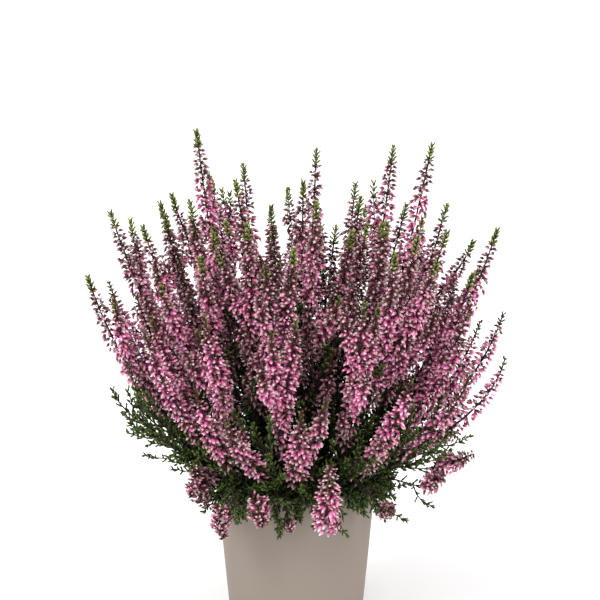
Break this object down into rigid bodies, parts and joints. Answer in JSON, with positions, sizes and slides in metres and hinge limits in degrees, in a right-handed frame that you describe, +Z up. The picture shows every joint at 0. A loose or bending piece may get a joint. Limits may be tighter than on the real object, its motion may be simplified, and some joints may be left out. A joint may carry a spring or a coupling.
{
  "type": "potted heather",
  "caption": "Bushy bud-blooming heather with upright pink flower spikes and dark green needle foliage, in a plain round tapered pot.",
  "frame": {"origin": "middle of the pot's flat underside, on the surface that it stands on", "axes": "+Z up, -Y towards the side that is seen from the front, +X to the right seen from there"},
  "size_m": [0.2844, 0.2425, 0.331],
  "materials": {
    "pot": "smooth matt warm grey, moulded",
    "soil": "damp dark peat with fibres and crumbs",
    "leaf": "dark green needles on thin brown woody stems",
    "flower": "matt closed buds, pale pink to magenta, with a yellow-green leafy tip"
  },
  "bodies": {
    "root": {"pot": "pot", "soil": "soil", "leafy_stems_01": "leaf", "leafy_stems_02": "leaf", "leafy_stems_03": "leaf", "leafy_stems_04": "leaf", "leafy_stems_05": "leaf", "leafy_stems_06": "leaf", "leafy_stems_07": "leaf", "leafy_stems_08": "leaf", "flower_spike_01": "flower", "flower_spike_02": "flower", "flower_spike_03": "flower", "flower_spike_04": "flower", "flower_spike_05": "flower", "flower_spike_06": "flower", "flower_spike_07": "flower", "flower_spike_08": "flower", "flower_spike_09": "flower", "flower_spike_10": "flower", "flower_spike_11": "flower", "flower_spike_12": "flower", "flower_spike_13": "flower", "flower_spike_14": "flower", "flower_spike_15": "flower", "flower_spike_16": "flower", "flower_spike_17": "flower", "flower_spike_18": "flower", "flower_spike_19": "flower", "flower_spike_20": "flower", "flower_spike_21": "flower", "flower_spike_22": "flower", "flower_spike_23": "flower", "flower_spike_24": "flower", "flower_spike_25": "flower", "flower_spike_26": "flower", "flower_spike_27": "flower", "flower_spike_28": "flower", "flower_spike_29": "flower", "flower_spike_30": "flower", "flower_spike_31": "flower", "flower_spike_32": "flower", "flower_spike_33": "flower", "flower_spike_34": "flower", "flower_spike_35": "flower", "flower_spike_36": "flower", "flower_spike_37": "flower", "flower_spike_38": "flower", "flower_spike_39": "flower", "flower_spike_40": "flower", "flower_spike_41": "flower", "flower_spike_42": "flower", "flower_spike_43": "flower", "flower_spike_44": "flower", "flower_spike_45": "flower", "flower_spike_46": "flower", "flower_spike_47": "flower", "flower_spike_48": "flower", "flower_spike_49": "flower", "flower_spike_50": "flower"}
  },
  "joints": []
}
